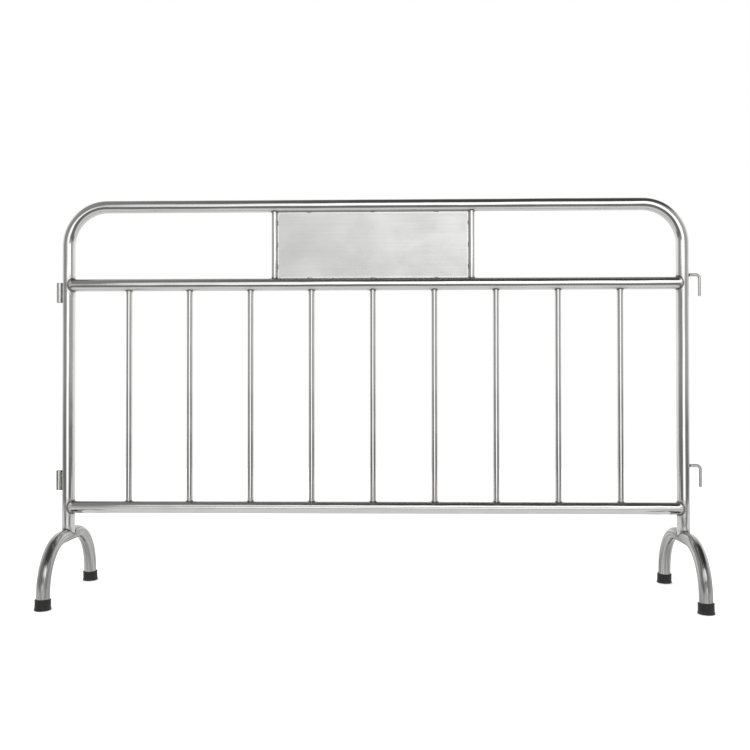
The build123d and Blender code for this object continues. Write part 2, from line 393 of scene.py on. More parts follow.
def upright(node, x, low_z, high_z):
    corners = [Vector((x, 0, low_z)), Vector((x, 0, high_z))]
    return tube(node, corners, BAR_R, BAR_WALL, BAR_SIDES,
                places=[0.0, high_z - low_z], fits=(on_tube, on_tube))


def foot_arch(side, x):
    end_y = FOOT_Y - CAP_SOLE * math.tan(FOOT_SPLAY)
    shoulder_y = FOOT_Y - APEX_Z * math.tan(FOOT_SPLAY)
    corners = [Vector((x, y, z)) for y, z in
               ((-end_y, CAP_SOLE), (-shoulder_y, APEX_Z), (shoulder_y, APEX_Z), (end_y, CAP_SOLE))]
    leg = math.hypot(end_y - shoulder_y, APEX_Z - CAP_SOLE)
    turn = math.pi / 2 - FOOT_SPLAY
    cut = FOOT_BEND_R * math.tan(turn / 2)
    middle = leg - cut + FOOT_BEND_R * turn + shoulder_y - cut
    return tube(f"foot_arch_{side}", corners, TUBE_R, TUBE_WALL, TUBE_SIDES, FOOT_BEND_R,
                side=X, places=[middle - TUBE_R, middle, middle + TUBE_R])


def coupling_hook(name):
    arm_z = HOOK_Z[name]
    tip_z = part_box(f"coupling_hook_{name}")[0].z
    corners = [Vector((RIGHT_X, 0, arm_z)), Vector((PIN_X, 0, arm_z)), Vector((PIN_X, 0, tip_z))]
    return tube(f"coupling_hook_{name}", corners, ROD_R, None, BAR_SIDES, HOOK_BEND_R,
                places=[TUBE_R, 3 * TUBE_R], fits=(on_tube, None), tip=HOOK_CHAMFER)


def coupling_sleeve(name):
    low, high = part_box(f"coupling_sleeve_{name}")
    length = high.z - low.z
    bore_r = SLEEVE_R - SLEEVE_WALL
    rim = SLEEVE_RIM
    profile = fillet(SLEEVE_R - rim, rim, rim, -90, 0)
    profile += [(SLEEVE_R, z) for z in graded(length, [0.0, length])[1:-1]]
    profile += fillet(SLEEVE_R - rim, length - rim, rim, 0, 90)
    profile += fillet(bore_r + rim, length - rim, rim, 90, 180)
    profile += [(bore_r, length * share) for share in (0.8, 0.6, 0.4, 0.2)]
    profile += fillet(bore_r + rim, rim, rim, 180, 270)
    origin = Vector((centre(f"coupling_sleeve_{name}").x, 0, low.z))
    return make_object(f"coupling_sleeve_{name}", *lathe(profile, origin, Z, X, BAR_SIDES, closed=True))


def sign_plate():
    """Thin sheet with eased edges, drawn very slightly out of flat by its stitches."""
    low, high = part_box("sign_plate")
    columns = 96
    rows = 36
    across = columns + 1
    skin = (high.y - low.y) / 2

    def waviness(u, v):
        window = math.sin(math.pi * u) * math.sin(math.pi * v)
        slow = math.sin(2.1 * math.pi * u + 0.6) + 0.5 * math.sin(5.3 * math.pi * u + 2.2 * v)
        return PLATE_WAVE * window * (slow + 0.4 * math.sin(3.1 * math.pi * v + 1.4))

    def point(column, row, y, inset):
        width = high.x - low.x - 2 * inset
        height = high.z - low.z - 2 * inset
        return Vector((low.x + inset + width * column / columns, y, low.z + inset + height * row / rows))

    border = [(column, 0) for column in range(columns)]
    border += [(columns, row) for row in range(rows)]
    border += [(columns - column, rows) for column in range(columns)]
    border += [(0, rows - row) for row in range(rows)]
    vertices = []
    faces = []
    for y in (-skin, skin):
        first = len(vertices)
        vertices += [point(column, row, y + waviness(column / columns, row / rows), PLATE_EASE)
                     for row in range(rows + 1) for column in range(across)]
        for row in range(rows):
            for column in range(columns):
                corner = first + row * across + column
                faces.append((corner, corner + 1, corner + across + 1, corner + across))
    back = (rows + 1) * across
    front_edge = len(vertices)
    back_edge = front_edge + len(border)
    for y in (-skin + PLATE_EASE, skin - PLATE_EASE):
        vertices += [point(column, row, y, 0.0) for column, row in border]
    rim = [row * across + column for column, row in border]
    for k in range(len(border)):
        following = (k + 1) % len(border)
        faces.append((rim[k], rim[following], front_edge + following, front_edge + k))
        faces.append((front_edge + k, front_edge + following, back_edge + following, back_edge + k))
        faces.append((back_edge + k, back_edge + following, back + rim[following], back + rim[k]))
    return make_object("sign_plate", vertices, faces, vertices)


def cap_profile():
    """Points (r, z) round one side of a cap's section, from the bore's floor to the sole."""
    bore_r = TUBE_R + CAP_CLEARANCE
    lip_z = CAP_HEIGHT - CAP_LIP_HEIGHT
    wall_r = CAP_R + CAP_BULGE
    wall_low = CAP_FOOT_HEIGHT + 2 * CAP_FLARE
    profile = [(CAP_HUB_R, CAP_SOLE), (bore_r / 2, CAP_SOLE), (bore_r, CAP_SOLE)]
    profile += [(bore_r, CAP_HEIGHT * share) for share in (2 / 5, 2 / 3)]
    profile += fillet(bore_r + CAP_ROUND, CAP_HEIGHT - CAP_ROUND, CAP_ROUND, 180, 90)
    lip_steps = 10
    for j in range(1, lip_steps):
        angle = math.pi * j / lip_steps
        shoulder = CAP_ROUND * (1 - math.sin(min(angle, math.pi / 2)))
        profile.append((CAP_R - shoulder + CAP_LIP * math.sin(angle),
                        CAP_HEIGHT - CAP_LIP_HEIGHT * (1 - math.cos(angle)) / 2))
    profile += [(CAP_R, lip_z), (CAP_R, lip_z - CAP_LIP)]
    wall_steps = 6
    shares = [j / wall_steps for j in range(1, wall_steps + 1)]
    profile += [(wall_r, lip_z + (wall_low - lip_z) * share) for share in shares]
    for share in shares:
        smooth = share * share * (3 - 2 * share)
        profile.append((wall_r + (SOLE_R - wall_r) * smooth,
                        wall_low + (CAP_FOOT_HEIGHT - wall_low) * share))
    profile += [(SOLE_R, CAP_FOOT_HEIGHT * share) for share in (0.72, 0.44)]
    profile += fillet(SOLE_R - CAP_SOLE_ROUND, CAP_SOLE_ROUND, CAP_SOLE_ROUND, 0, -90)
    for sign in (1, -1):
        edge = CAP_GROOVE_R + sign * CAP_GROOVE_WIDTH / 2
        wall = [(edge + sign * CAP_GROOVE_EASE, 0.0), (edge, CAP_GROOVE_EASE), (edge, CAP_GROOVE_DEPTH)]
        profile += wall[::sign]
    return profile + [(CAP_HUB_R, 0.0)]


def foot_cap(end, side, x, y_side):
    """Rubber ferrule along its leaning leg, with its sole level on the floor."""
    lean = y_side * FOOT_SPLAY
    axis = Vector((0, -math.sin(lean), math.cos(lean)))
    origin = Vector((x, y_side * FOOT_Y, 0))
    vertices, faces, flow = lathe(cap_profile(), origin, axis, X, BAR_SIDES * 2, closed=False)
    for vertex, place in zip(vertices, flow):
        height = place[2]
        level = max(0.0, 1 - height / CAP_FOOT_HEIGHT)
        vertex += axis * ((height - vertex.z) / axis.z * level)
    return make_object(f"foot_cap_{end}_{side}", vertices, faces, flow)


# ---- weld beads

rng = random.Random(7)
weld_line = []               # points along every bead's root


class Beads:
    """Gathers the beads of one node into a single mesh."""

    def __init__(self):
        self.vertices = []
        self.faces = []
        self.flow = []

    def object(self, node):
        return make_object(node, self.vertices, self.faces, self.flow)

    def wander(self, count, waves):
        """Slow random swing between about -1 and 1 that ends where it starts."""
        parts = [(wave, rng.uniform(0, FULL_TURN)) for wave in waves]
        return [sum(math.sin(wave * FULL_TURN * j / count + phase) for wave, phase in parts) / len(parts)
                for j in range(count)]

    def add(self, roots, outs, radius, closed):
        """One bead along roots, its crown towards outs, rippled by the welder's puddle."""
        roots, outs = even_steps(roots, outs, BEAD_STEP, closed)
        weld_line.extend(roots[::2])
        count = len(roots)
        step = (roots[1] - roots[0]).length
        length = step * count
        turns = max(3, round(length / BEAD_CHANGE_RUN))
        pace = self.wander(count, (2, 3, 5))
        swell = self.wander(count, (1, turns, turns + 2))
        weave = self.wander(count, (2, turns + 1))
        ripples = [0.0]
        for j in range(count):
            ripples.append(ripples[-1] + step / (RIPPLE * (1 + RIPPLE_CHANGE * pace[j])))
        whole = max(1, round(ripples[-1])) / ripples[-1]
        first = len(self.vertices)
        for j in range(count):
            ahead = roots[(j + 1) % count] if closed or j < count - 1 else roots[j]
            behind = roots[j - 1] if closed or j > 0 else roots[j]
            along = (ahead - behind).normalized()
            out = (outs[j] - along * outs[j].dot(along)).normalized()
            side = along.cross(out)
            size = radius * (1 + BEAD_CHANGE * swell[j])
            if not closed:
                from_end = min(j, count - 1 - j) * step
                blunt = min(1.0, from_end / (BEAD_BLUNTING * radius))
                size *= math.sqrt(max(1 - (1 - blunt) ** 2, 0.01))
            base = roots[j] + side * (BEAD_WEAVE * radius * weave[j])
            for k in range(BEAD_SIDES):
                turn = FULL_TURN * k / BEAD_SIDES
                crown = math.cos(turn)
                phase = ripples[j] * whole - RIPPLE_TRAIL * (1 - max(crown, 0.0) ** 2)
                ridge = abs(math.sin(math.pi * phase)) - RIPPLE_MEAN
                swollen = 1 + (RIPPLE_HEIGHT * ridge if crown > -0.3 else 0.0)
                up = size * (BEAD_LIFT + BEAD_RISE * crown * swollen)
                wide = size * BEAD_SPREAD * math.sin(turn) * (1 + RIPPLE_WIDENING * ridge)
                self.vertices.append(base + out * up + side * wide)
                self.flow.append((size * crown, size * math.sin(turn), j * step))
        self.faces += skin_faces(first, count, BEAD_SIDES, closed)
        if not closed:
            self.faces.append(tuple(range(first, first + BEAD_SIDES)))
            last = first + (count - 1) * BEAD_SIDES
            self.faces.append(tuple(range(last, last + BEAD_SIDES)))

    def spatter(self, middle, normal, spread, count):
        """Small droplets stuck to a tube's flank beside a weld."""
        tangent = normal.orthogonal().normalized()
        other = normal.cross(tangent)
        least, greatest = DROP_R
        for _ in range(count):
            r = least + (greatest - least) * rng.random() ** 3
            turn = rng.uniform(0, FULL_TURN)
            out = spread * rng.random() ** 0.5
            base = middle + tangent * (out * math.cos(turn)) + other * (out * math.sin(turn))
            base = on_post(base, normal)
            first = len(self.vertices)
            for j in range(1, DROP_RINGS + 1):
                fall = math.pi / 2 * j / DROP_RINGS
                for k in range(DROP_SIDES):
                    turn = FULL_TURN * k / DROP_SIDES
                    place = (tangent * math.cos(turn) + other * math.sin(turn)) * (r * math.sin(fall))
                    self.vertices.append(base + place + normal * (r * math.cos(fall) * DROP_FLATTENING))
                    self.flow.append((0.0, 0.0, 0.0))
            self.faces += skin_faces(first, DROP_RINGS, DROP_SIDES)
            last = first + (DROP_RINGS - 1) * DROP_SIDES
            self.faces.append(tuple(range(first, first + DROP_SIDES)))
            self.faces.append(tuple(range(last, last + DROP_SIDES)))


def on_post(point, normal):
    """Drops a point on the surface of the right post, for a normal that faces front or rear."""
    aside = point.x - RIGHT_X
    reach = math.sqrt(max(TUBE_R ** 2 - aside ** 2, 0.0))
    return Vector((point.x, math.copysign(reach, normal.y), point.z))


def even_steps(roots, outs, step, closed):
    """The same line with evenly spaced points, and its outward directions."""
    ends = roots + [roots[0]] if closed else roots
    out_ends = outs + [outs[0]] if closed else outs
    lengths = [0.0]
    for a, b in zip(ends, ends[1:]):
        lengths.append(lengths[-1] + (b - a).length)
    pieces = max(4, round(lengths[-1] / step))
    new_roots = []
    new_outs = []
    at = 0
    for j in range(pieces if closed else pieces + 1):
        walked = lengths[-1] * j / pieces
        while at < len(lengths) - 2 and lengths[at + 1] < walked:
            at += 1
        share = (walked - lengths[at]) / max(lengths[at + 1] - lengths[at], 1e-9)
        new_roots.append(ends[at].lerp(ends[at + 1], share))
        new_outs.append(out_ends[at].lerp(out_ends[at + 1], share).normalized())
    return new_roots, new_outs


def joint_line(crossing, branch, run, branch_r):
    """Root line and outward directions where a branch tube stands on a main tube, the run."""
    side = run.cross(branch)
    equal = abs(branch_r - TUBE_R) < SAME_SIZE
    count = EQUAL_JOINT_POINTS if equal else JOINT_POINTS
    roots = []
    outs = []
    for k in range(count):
        turn = FULL_TURN * k / count
        branch_normal = side * math.cos(turn) + run * math.sin(turn)
        aside = branch_r * math.cos(turn)
        if equal:
            aside, reach = swaged(aside, branch_r)
        else:
            reach = math.sqrt(max(TUBE_R ** 2 - aside ** 2, 0.0))
        roots.append(crossing + side * aside + branch * reach + run * (branch_r * math.sin(turn)))
        run_normal = (side * aside + branch * reach) / TUBE_R
        outs.append((branch_normal + run_normal).normalized())
    return roots, outs


def joint_beads(branch_r, bead_r, joints):
    """One bead round each joint, given as its x and z, the branch's heading and the run's."""
    beads = Beads()
    for (x, z), branch, run in joints:
        roots, outs = joint_line(Vector((x, 0, z)), branch, run, branch_r)
        beads.add(roots, outs, bead_r, closed=True)
    return beads


def rail_beads(z):
    return joint_beads(TUBE_R, TUBE_BEAD_R, [((LEFT_X, z), X, Z), ((RIGHT_X, z), -X, Z)])


def bar_beads(z, branch):
    return joint_beads(BAR_R, BAR_BEAD_R, [((x, z), branch, X) for x in BAR_X])


def sign_bar_beads():
    ends = ((MID_Z, Z), (TOP_Z, -Z))
    return joint_beads(BAR_R, BAR_BEAD_R,
                       [((x, z), branch, X) for x in SIGN_X.values() for z, branch in ends])


def sleeve_beads():
    """Two upright beads in the notches between each sleeve and its post."""
    beads = Beads()
    apart = TUBE_R + SLEEVE_R
    clear = SLEEVE_BEAD_R * SLEEVE_BEAD_CLEAR
    post_to_bead = TUBE_R + clear
    sleeve_to_bead = SLEEVE_R + clear
    out = (post_to_bead ** 2 - sleeve_to_bead ** 2 + apart ** 2) / (2 * apart)
    aside = math.sqrt(post_to_bead ** 2 - out ** 2)
    for name in ("upper", "lower"):
        low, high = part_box(f"coupling_sleeve_{name}")
        for face in (-1, 1):
            roots = [Vector((LEFT_X - out, face * aside, z))
                     for z in (low.z + SLEEVE_BEAD_END, high.z - SLEEVE_BEAD_END)]
            beads.add(roots, [Y * face] * 2, SLEEVE_BEAD_R, closed=False)
    return beads


def sign_tacks():
    """Short stitches along the plate's four edges, on both of its faces."""
    beads = Beads()
    low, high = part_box("sign_plate")
    reach = TACK_LENGTH / 2
    for i in range(TACK_COUNT):
        share = (i + 0.5) / TACK_COUNT
        x = low.x + (high.x - low.x) * share
        z = low.z + (high.z - low.z) * share
        tacks = (((low.x, z), X, Z), ((high.x, z), -X, Z), ((x, low.z), Z, X), ((x, high.z), -Z, X))
        for face_y, face in ((low.y, -Y), (high.y, Y)):
            for (tack_x, tack_z), inward, along in tacks:
                middle = Vector((tack_x, face_y, tack_z))
                out = (face + inward).normalized()
                beads.add([middle - along * reach, middle + along * reach], [out, out],
                          TACK_BEAD_R, closed=False)
    return beads


def store(piece, name, measure):
    """Stores a measure of each point's place, for the piece's finish to read."""
    attribute = piece.data.attributes.new(name, "FLOAT", "POINT")
    attribute.data.foreach_set("value", [measure(vertex.co) for vertex in piece.data.vertices])


# ---- materials

class Nodes:
    """Short ways to add nodes to a material's or the world's tree."""

    def __init__(self, tree):
        self.tree = tree

    def add(self, kind, inputs=(), **settings):
        made = self.tree.nodes.new("ShaderNode" + kind)
        for key, value in settings.items():
            setattr(made, key, value)
        for key, value in dict(inputs).items():
            self.feed(made.inputs[key], value)
        return made

    def feed(self, socket, value):
        if isinstance(value, bpy.types.NodeSocket):
            self.tree.links.new(value, socket)
        else:
            socket.default_value = value

    def stored(self, name, output="Fac"):
        """A value that the meshes carry for each of their points."""
        return self.add("Attribute", attribute_name=name).outputs[output]

    def scaled(self, vector, factors):
        return self.add("VectorMath", {0: vector, 1: factors}, operation="MULTIPLY").outputs[0]

    def noise(self, vector, factors, detail, roughness=0.5, distortion=0.0):
        """Noise with about factors' number of swings to a metre along each axis."""
        inputs = {"Vector": self.scaled(vector, factors), "Scale": 1.0, "Detail": detail,
                  "Roughness": roughness, "Distortion": distortion}
        return self.add("TexNoise", inputs).outputs[0]

    def math(self, operation, a, b=0.0, c=0.0):
        return self.add("Math", {0: a, 1: b, 2: c}, operation=operation).outputs[0]

    def spread(self, value, low, high, to_low=0.0, to_high=1.0):
        """The value's range low..high brought smoothly to to_low..to_high, and held there."""
        inputs = {0: value, 1: low, 2: high, 3: to_low, 4: to_high}
        return self.add("MapRange", inputs, interpolation_type="SMOOTHSTEP").outputs[0]

    def band(self, value, low, low_end, high, high_end):
        """1 for values in the middle, falling smoothly to 0 from low_end to low and high to high_end."""
        return self.math("MULTIPLY", self.spread(value, low, low_end),
                         self.spread(value, high, high_end, 1.0, 0.0))

    def mix(self, share, a, b):
        return self.add("Mix", {0: share, 2: a, 3: b}).outputs[0]

    def mix_colour(self, share, a, b):
        return self.add("Mix", {0: share, 6: a, 7: b}, data_type="RGBA").outputs[2]

    def tinted(self, colour, amount):
        """A colour made lighter or darker by an amount about 1."""
        factor = self.add("CombineXYZ", {0: amount, 1: amount, 2: amount}).outputs[0]
        inputs = {0: 1.0, 6: colour, 7: factor}
        return self.add("Mix", inputs, data_type="RGBA", blend_type="MULTIPLY").outputs[2]

    def bump(self, height, strength, distance, below=None):
        inputs = {"Height": height, "Strength": strength, "Distance": distance}
        if below is not None:
            inputs["Normal"] = below
        return self.add("Bump", inputs).outputs[0]


class Finish(Nodes):
    """A material with one Principled shader."""

    def __init__(self, name, **values):
        self.material = bpy.data.materials.new(name)
        self.material.use_nodes = True
        super().__init__(self.material.node_tree)
        self.shader = self.tree.nodes["Principled BSDF"]
        for key, value in values.items():
            self.shader.inputs[key.replace("_", " ")].default_value = value

    def wear(self, **sockets):
        for key, value in sockets.items():
            self.feed(self.shader.inputs[key.replace("_", " ")], value)
        return self.material


STRAW = (0.46, 0.36, 0.22, 1)
SOOT = (0.11, 0.105, 0.10, 1)
BLUE = (0.33, 0.36, 0.46, 1)
STRAW_STRENGTH = 0.128     # of the heat colours on the tubes
BLUE_STRENGTH = 0.112
DRESSED_ROUGHNESS = 0.21   # least, where the metal beside a weld was ground


def steel(name, grey, gloss, haze, line, line_depth, along_lines, streaks=0.0, swirl=0.0):
    """Stainless steel tube or rod. gloss and haze are the least and greatest roughness of clean metal.

    line is the polishing lines' spacing; along_lines makes them run along the piece instead of
    round it. streaks is the strength of darker streaks along the piece, and swirl that of a disc
    grinder's curved marks, up to a few centimetres from the weld.
    """
    made = Finish(name, Metallic=1.0)
    flow = made.stored("flow", "Vector")
    weld = made.stored("weld_distance")
    across = 1 / line if along_lines else 60.0
    along = 12.0 if along_lines else 1 / line
    lines = made.noise(flow, (across, across, along), 3.0, 0.6)
    fine = made.noise(flow, (across * 3.1, across * 3.1, along * 2.7), 1.0)
    clouds = made.noise(flow, (38.0, 38.0, 9.0), 4.0, 0.62, 0.6)
    smears = made.noise(flow, (150.0, 150.0, 28.0), 3.0, 0.55, 1.2)
    swell = made.noise(flow, (17.0, 17.0, 5.0), 1.5)
    drawn = made.noise(flow, (210.0, 210.0, 5.0), 3.0, 0.6, 0.3)

    ragged = made.math("MULTIPLY_ADD", made.math("SUBTRACT", smears, 0.5), 0.006, weld)
    dressed = made.spread(ragged, 0.006, 0.016, 1.0, 0.0)
    scorched = made.spread(ragged, 0.0024, 0.0038, 1.0, 0.0)
    straw = made.band(ragged, 0.0045, 0.0075, 0.0095, 0.015)
    blue = made.band(ragged, 0.0030, 0.0050, 0.0060, 0.0090)

    clean = made.tinted((grey, grey, grey * 0.985, 1), made.spread(clouds, 0.25, 0.75, 0.95, 1.04))
    coloured = made.mix_colour(made.math("MULTIPLY", straw, STRAW_STRENGTH), clean, STRAW)
    coloured = made.mix_colour(made.math("MULTIPLY", blue, BLUE_STRENGTH), coloured, BLUE)
    coloured = made.mix_colour(made.math("MULTIPLY", scorched, 0.85), coloured, SOOT)
    coloured = made.tinted(coloured, made.spread(drawn, 0.35, 0.65, 1.0 - streaks, 1.0 + streaks * 0.4))
    if swirl:
        wave = {"Vector": made.scaled(flow, (1.0, 1.0, 0.8)), "Scale": 55.0,
                "Distortion": 7.0, "Detail": 3.0, "Detail Scale": 0.5}
        curls = made.spread(made.add("TexWave", wave, wave_type="RINGS").outputs["Fac"], 0.2, 0.8)
        curled = made.math("MULTIPLY", made.spread(weld, 0.018, 0.050, swirl, 0.0), curls)
        coloured = made.tinted(coloured, made.math("SUBTRACT", 1.0, curled))

    rough = made.spread(made.math("MULTIPLY_ADD", smears, 0.45, made.math("MULTIPLY", clouds, 0.55)),
                        0.32, 0.72, gloss, haze)
    rough = made.math("MULTIPLY_ADD", made.math("SUBTRACT", lines, 0.5), 0.05, rough)
    rough = made.mix(dressed, rough, made.math("MULTIPLY_ADD", lines, 0.10, DRESSED_ROUGHNESS))
    depth = made.math("MULTIPLY_ADD", fine, 0.4, lines)
    skin = made.bump(swell, 0.6, 0.0040)
    skin = made.bump(depth, made.mix(dressed, line_depth, 3 * line_depth + 0.04), 0.00005, skin)
    return made.wear(Base_Color=coloured, Roughness=rough, Normal=skin)


def brushed_sheet(name):
    """Stainless sheet with its grain along X, with a painted highlight along its edges where it meets the
    tubes.
    """
    made = Finish(name, Metallic=1.0, Anisotropic=0.35)
    place = made.stored("flow", "Vector")
    weld = made.stored("weld_distance")
    edge = made.stored("edge_distance")
    grain = made.noise(place, (6.0, 40.0, 1300.0), 3.0, 0.65)
    broad = made.noise(place, (3.0, 10.0, 210.0), 3.0, 0.6)
    clouds = made.noise(place, (5.0, 5.0, 7.0), 4.0, 0.6, 0.5)
    scuffs = made.noise(place, (70.0, 70.0, 110.0), 4.0, 0.7, 1.5)
    # painted highlight: within a few millimetres of its edges the sheet's colour is made lighter, standing
    # in for its reflection of the tubes
    rim = made.spread(edge, 0.0034, 0.0046, 1.0, 0.0)
    shade = made.math("MULTIPLY_ADD", grain, 0.18, made.spread(broad, 0.3, 0.7, 0.87, 0.93))
    clean = made.tinted((0.56, 0.56, 0.557, 1), shade)
    # the painted edge highlight is mixed into the sheet's colour here
    clean = made.mix_colour(made.math("MULTIPLY", rim, 0.55), clean, (0.78, 0.78, 0.775, 1))
    ragged = made.math("MULTIPLY_ADD", made.math("SUBTRACT", scuffs, 0.5), 0.006, weld)
    coloured = made.mix_colour(made.spread(ragged, 0.0025, 0.006, 0.08, 0.0), clean, STRAW)
    coloured = made.mix_colour(made.spread(ragged, 0.0012, 0.0026, 0.6, 0.0), coloured, SOOT)
    rough = made.math("MULTIPLY_ADD", grain, 0.16, made.spread(clouds, 0.3, 0.7, 0.28, 0.36))
    rough = made.math("MULTIPLY_ADD", made.spread(scuffs, 0.62, 0.72), 0.08, rough)
    skin = made.bump(made.math("MULTIPLY_ADD", broad, 0.3, grain), 0.16, 0.00006)
    return made.wear(Base_Color=coloured, Roughness=rough, Normal=skin)


def weld_metal(name):
    """Rippled bead, oxidised grey-brown with straw and blue where the heat changed."""
    made = Finish(name, Metallic=1.0)
    flow = made.stored("flow", "Vector")
    patches = made.noise(flow, (90.0, 90.0, 150.0), 3.0, 0.6)
    grit = made.noise(flow, (1400.0, 1400.0, 1400.0), 3.0, 0.7)
    base = made.mix_colour(made.spread(patches, 0.40, 0.62),
                           (0.34, 0.33, 0.32, 1), (0.19, 0.185, 0.175, 1))
    base = made.mix_colour(made.spread(patches, 0.60, 0.72, 0.0, 0.25), base, BLUE)
    base = made.mix_colour(made.spread(patches, 0.28, 0.38, 0.2, 0.0), base, STRAW)
    rough = made.math("MULTIPLY_ADD", grit, 0.25, made.spread(patches, 0.35, 0.65, 0.26, 0.42))
    return made.wear(Base_Color=base, Roughness=rough, Normal=made.bump(grit, 0.35, 0.00012))


def rubber(name):
    """Moulded black rubber, finely pebbled, with faint upright marks and dust low down."""
    made = Finish(name, IOR=1.52, Specular_IOR_Level=0.28)
    place = made.add("TexCoord").outputs["Object"]
    flow = made.stored("flow", "Vector")
    height = made.add("SeparateXYZ", {0: place}).outputs[2]
    pebble = made.noise(place, (1300.0, 1300.0, 1300.0), 2.0, 0.6)
    dust = made.noise(place, (160.0, 160.0, 210.0), 5.0, 0.68, 0.6)
    drawn = made.noise(flow, (260.0, 260.0, 40.0), 3.0, 0.6)
    low = made.spread(height, 0.001, 0.016, 1.0, 0.15)
    dusty = made.math("MULTIPLY", made.spread(dust, 0.42, 0.74), low)
    base = made.mix_colour(made.spread(drawn, 0.35, 0.65),
                           (0.007, 0.007, 0.0075, 1), (0.015, 0.015, 0.016, 1))
    base = made.mix_colour(made.math("MULTIPLY", dusty, 0.28), base, (0.16, 0.15, 0.135, 1))
    rough = made.math("MULTIPLY_ADD", dusty, 0.25, made.spread(drawn, 0.3, 0.7, 0.42, 0.58))
    skin = made.bump(pebble, 0.22, 0.00012)
    return made.wear(Base_Color=base, Roughness=rough, Normal=made.bump(drawn, 0.15, 0.0002, skin))


def pale_floor(name):
    made = Finish(name, Roughness=0.75)
    place = made.add("TexCoord").outputs["Object"]
    mottle = made.noise(place, (2.0, 2.0, 2.0), 3.0)
    shade = made.spread(mottle, 0.3, 0.7, 0.985, 1.0)
    return made.wear(Base_Color=made.tinted((0.86, 0.86, 0.86, 1), shade))


FINISH = {
    "stainless_tube": steel(
        "stainless_tube", grey=0.66, gloss=0.07, haze=0.15,
        line=0.00045, line_depth=0.02, along_lines=False),
    "stainless_bar": steel(
        "stainless_bar", grey=0.68, gloss=0.08, haze=0.16,
        line=0.00030, line_depth=0.03, along_lines=True, streaks=0.06),
    "stainless_foot": steel(
        "stainless_foot", grey=0.45, gloss=0.17, haze=0.29,
        line=0.00040, line_depth=0.06, along_lines=True, streaks=0.42, swirl=0.42),
    "stainless_rod": steel(
        "stainless_rod", grey=0.58, gloss=0.16, haze=0.28,
        line=0.00025, line_depth=0.08, along_lines=True, streaks=0.08),
    "stainless_sleeve": steel(
        "stainless_sleeve", grey=0.66, gloss=0.14, haze=0.26,
        line=0.00030, line_depth=0.06, along_lines=True, streaks=0.08),
    "stainless_sheet": brushed_sheet("stainless_sheet"),
    "weld_metal": weld_metal("weld_metal"),
    "rubber_cap": rubber("rubber_cap"),
}


# ---- pieces in place

def stand_for(node, piece):
    """The piece takes the CAD node's place, body, slot and finish."""
    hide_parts(node)
    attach(piece, "root")
    piece.data.materials.append(FINISH[SLOT_OF[node]])
    return piece


metal = [
    stand_for("hoop_tube", hoop()),
    stand_for("mid_rail", rail("mid_rail", MID_Z, BAR_X + list(SIGN_X.values()))),
    stand_for("bottom_rail", rail("bottom_rail", BOTTOM_Z, BAR_X)),
    stand_for("sign_plate", sign_plate()),
]
for number, bar_x in enumerate(BAR_X, start=1):
    metal.append(stand_for(f"bar_{number}", upright(f"bar_{number}", bar_x, BOTTOM_Z, MID_Z)))
for side, post_x in (("left", LEFT_X), ("right", RIGHT_X)):
    metal.append(stand_for(f"sign_bar_{side}", upright(f"sign_bar_{side}", SIGN_X[side], MID_Z, TOP_Z)))
    metal.append(stand_for(f"foot_arch_{side}", foot_arch(side, post_x)))
    for end, y_side in (("front", -1), ("rear", 1)):
        stand_for(f"foot_cap_{end}_{side}", foot_cap(end, side, post_x, y_side))
for name in ("upper", "lower"):
    metal.append(stand_for(f"coupling_hook_{name}", coupling_hook(name)))
    metal.append(stand_for(f"coupling_sleeve_{name}", coupling_sleeve(name)))

welds = {
    "weld_mid_rail": rail_beads(MID_Z),
    "weld_bottom_rail": rail_beads(BOTTOM_Z),
    "weld_bars_top": bar_beads(MID_Z, -Z),
    "weld_bars_bottom": bar_beads(BOTTOM_Z, Z),
    "weld_sign_bars": sign_bar_beads(),
    "weld_sign_tacks": sign_tacks(),
    "weld_feet": joint_beads(TUBE_R, TUBE_BEAD_R, [((x, APEX_Z), Z, Y) for x in (LEFT_X, RIGHT_X)]),
    "weld_hooks": joint_beads(ROD_R, ROD_BEAD_R, [((RIGHT_X, z), X, Z) for z in HOOK_Z.values()]),
    "weld_sleeves": sleeve_beads(),
}
spatters = (("weld_bottom_rail", BOTTOM_Z, 0.016, 14), ("weld_mid_rail", MID_Z, 0.015, 9),
            ("weld_feet", APEX_Z + FOOT_DROPS_RISE, 0.014, 12))
for face in (-Y, Y):
    for node, z, spread, count in spatters:
        welds[node].spatter(Vector((RIGHT_X, 0, z)), face, spread, count)
for node, beads in welds.items():
    stand_for(node, beads.object(node))

weld_tree = KDTree(len(weld_line))
for index, point in enumerate(weld_line):
    weld_tree.insert(point, index)
weld_tree.balance()
plate_low, plate_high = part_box("sign_plate")


def weld_distance(point):
    return min(weld_tree.find(point)[2], FAR_FROM_WELD)


def edge_distance(point):
    return min(point.x - plate_low.x, plate_high.x - point.x, point.z - plate_low.z, plate_high.z - point.z)


for piece in metal:
    store(piece, "weld_distance", weld_distance)
store(bpy.data.objects["sign_plate_finished"], "edge_distance", edge_distance)


# ---- floor, light and camera

FLOOR_FRONT = 2.6          # how far the floor runs in front of, behind and beside the barrier
FLOOR_BACK = 4.0
FLOOR_SIDE = 4.0
BOUNCE_Z = 0.0002
BOUNCE_SIDE = 3.0
BOUNCE_START = 0.55        # in front of the barrier: the bright floor starts to fade, and ends
BOUNCE_END = 1.35
BOUNCE_RADIANCE = (0.20, 0.86)    # at the fade's end, and round the barrier
SOFTBOX_X = (-1.90, 2.20)
SOFTBOX_Z = (1.40, 3.20)
SOFTBOX_Y = -3.0
SOFTBOX_RADIANCE = (0.95, 2.1)    # at its left end, and from three quarters of its width on
OVERHEAD_SIDE = 18.0
OVERHEAD_Z = 3.4
OVERHEAD_RADIANCE = 1.25

